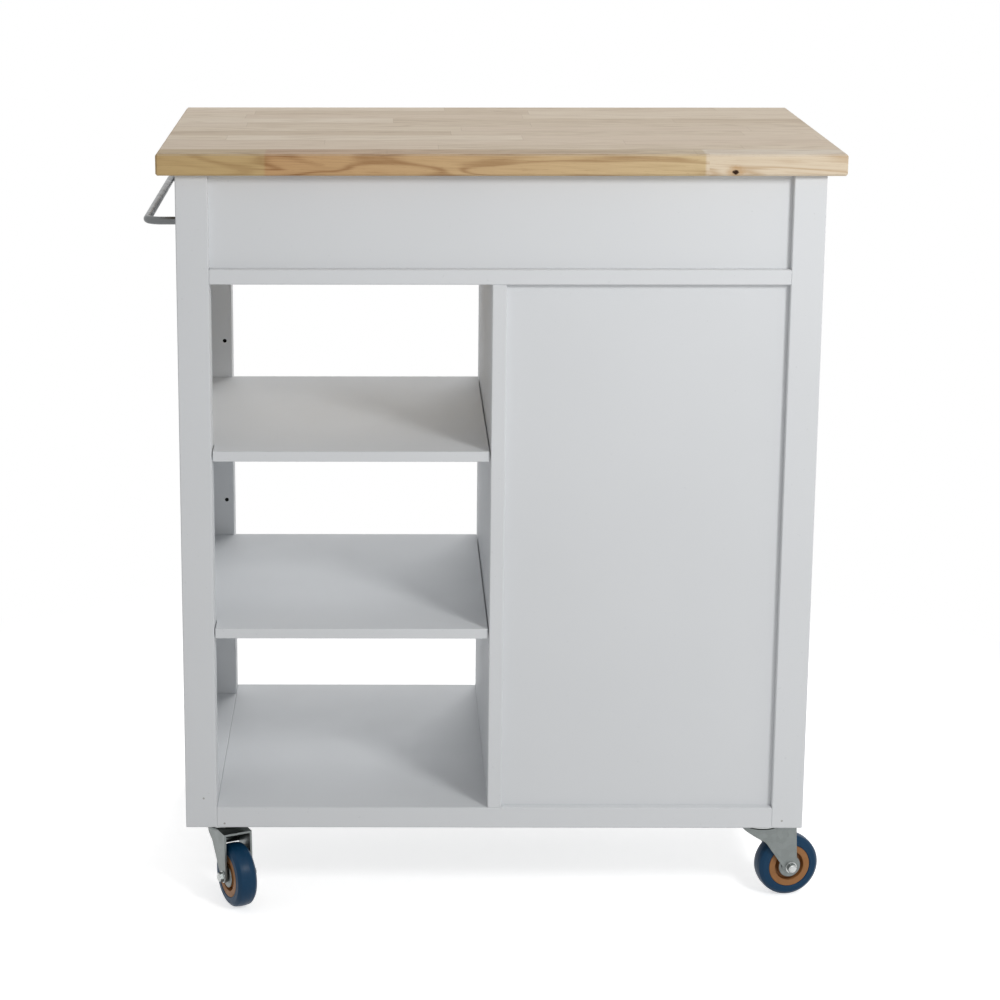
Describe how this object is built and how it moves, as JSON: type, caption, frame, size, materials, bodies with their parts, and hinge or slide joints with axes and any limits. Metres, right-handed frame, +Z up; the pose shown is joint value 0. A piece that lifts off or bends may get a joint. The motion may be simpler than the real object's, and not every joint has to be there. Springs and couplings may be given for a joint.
{
  "type": "kitchen island cart",
  "caption": "Rolling kitchen island with a wood worktop, drawers, a closed cabinet, an open shelf bay that runs right through, a side towel bar and swivel casters.",
  "frame": {"origin": "on the floor under the middle of the carcass", "axes": "+Z up; +Y towards the drawers and the door; -X is the side with the open bay and the towel bar; -Y is the finished back"},
  "size_m": [0.7955, 0.488, 0.892],
  "materials": {
    "worktop_wood": "oiled, edge-glued staves",
    "painted_white": "satin white paint",
    "bar_steel": "satin plated",
    "pin_steel": "plated",
    "runner_wood": "waxed",
    "drawer_wood": "clear lacquer",
    "knob_steel": "brushed",
    "hinge_steel": "plated",
    "catch_plastic": "moulded",
    "zinc_steel": "bright zinc plated",
    "rim_orange": "moulded",
    "tyre_blue": "satin"
  },
  "bodies": {
    "carcass": {"worktop": "worktop_wood", "post_rear_left": "painted_white", "post_rear_right": "painted_white", "post_front_left": "painted_white", "post_front_right": "painted_white", "side_panel_left": "painted_white", "side_panel_right": "painted_white", "side_rails_left": "painted_white", "side_rails_right": "painted_white", "divider": "painted_white", "drawer_partition": "painted_white", "bottom_board": "painted_white", "mid_rail_rear": "painted_white", "mid_rail_front": "painted_white", "apron_panel_rear": "painted_white", "cabinet_back_panel": "painted_white", "shelf_upper": "painted_white", "shelf_lower": "painted_white", "cabinet_shelf": "painted_white", "shelf_pins": "pin_steel", "towel_bar": "bar_steel", "drawer_runners": "runner_wood", "hinge_leaves_post": "hinge_steel", "hinge_pins": "hinge_steel", "magnet_catch": "catch_plastic", "caster_plates": "zinc_steel"},
    "drawer_left": {"drawer_front_left": "painted_white", "drawer_sides_left": "drawer_wood", "drawer_bottom_left": "drawer_wood", "drawer_back_left": "drawer_wood", "drawer_knob_left": "knob_steel"},
    "drawer_right": {"drawer_front_right": "painted_white", "drawer_sides_right": "drawer_wood", "drawer_bottom_right": "drawer_wood", "drawer_back_right": "drawer_wood", "drawer_knob_right": "knob_steel"},
    "door": {"door_frame": "painted_white", "door_panel": "painted_white", "door_knob": "knob_steel", "hinge_leaves_door": "hinge_steel", "catch_strike": "hinge_steel"},
    "caster_rear_left": {"fork_rear_left": "zinc_steel", "axle_rear_left": "zinc_steel"},
    "wheel_rear_left": {"rim_rear_left": "rim_orange", "tyre_rear_left": "tyre_blue"},
    "caster_rear_right": {"fork_rear_right": "zinc_steel", "axle_rear_right": "zinc_steel"},
    "wheel_rear_right": {"rim_rear_right": "rim_orange", "tyre_rear_right": "tyre_blue"},
    "caster_front_left": {"fork_front_left": "zinc_steel", "axle_front_left": "zinc_steel"},
    "wheel_front_left": {"rim_front_left": "rim_orange", "tyre_front_left": "tyre_blue"},
    "pedal_front_left": {"brake_pedal_front_left": "zinc_steel"},
    "caster_front_right": {"fork_front_right": "zinc_steel", "axle_front_right": "zinc_steel"},
    "wheel_front_right": {"rim_front_right": "rim_orange", "tyre_front_right": "tyre_blue"},
    "pedal_front_right": {"brake_pedal_front_right": "zinc_steel"}
  },
  "joints": [
    {"name": "drawer_slide_left", "type": "slide", "parent": "carcass", "child": "drawer_left", "axis": [0, 1, 0], "range_m": [0, 0.25]},
    {"name": "drawer_slide_right", "type": "slide", "parent": "carcass", "child": "drawer_right", "axis": [0, 1, 0], "range_m": [0, 0.25]},
    {"name": "door_hinge", "type": "hinge", "parent": "carcass", "child": "door", "pos_m": [0.3228, 0.221, 0.435], "axis": [0, 0, -1], "range_deg": [0, 110]},
    {"name": "swivel_rear_left", "type": "hinge", "parent": "carcass", "child": "caster_rear_left", "pos_m": [-0.317, -0.178, 0.0885], "axis": [0, 0, 1], "continuous": true},
    {"name": "roll_rear_left", "type": "hinge", "parent": "caster_rear_left", "child": "wheel_rear_left", "pos_m": [-0.3021, -0.20856, 0.0375], "axis": [0.8988, 0.4384, 0], "continuous": true},
    {"name": "swivel_rear_right", "type": "hinge", "parent": "carcass", "child": "caster_rear_right", "pos_m": [0.317, -0.178, 0.0885], "axis": [0, 0, 1], "continuous": true},
    {"name": "roll_rear_right", "type": "hinge", "parent": "caster_rear_right", "child": "wheel_rear_right", "pos_m": [0.34999, -0.16978, 0.0375], "axis": [-0.2419, 0.9703, 0], "continuous": true},
    {"name": "swivel_front_left", "type": "hinge", "parent": "carcass", "child": "caster_front_left", "pos_m": [-0.317, 0.178, 0.0885], "axis": [0, 0, 1], "continuous": true},
    {"name": "roll_front_left", "type": "hinge", "parent": "caster_front_left", "child": "wheel_front_left", "pos_m": [-0.34645, 0.195, 0.0375], "axis": [-0.5, -0.866, 0], "continuous": true},
    {"name": "brake_front_left", "type": "hinge", "parent": "caster_front_left", "child": "pedal_front_left", "pos_m": [-0.33172, 0.1865, 0.082], "axis": [-0.5, -0.866, 0], "range_deg": [0, 12]},
    {"name": "swivel_front_right", "type": "hinge", "parent": "carcass", "child": "caster_front_right", "pos_m": [0.317, 0.178, 0.0885], "axis": [0, 0, 1], "continuous": true},
    {"name": "roll_front_right", "type": "hinge", "parent": "caster_front_right", "child": "wheel_front_right", "pos_m": [0.34781, 0.19237, 0.0375], "axis": [-0.4226, 0.9063, 0], "continuous": true},
    {"name": "brake_front_right", "type": "hinge", "parent": "caster_front_right", "child": "pedal_front_right", "pos_m": [0.33241, 0.18518, 0.082], "axis": [-0.4226, 0.9063, 0], "range_deg": [0, 12]}
  ]
}
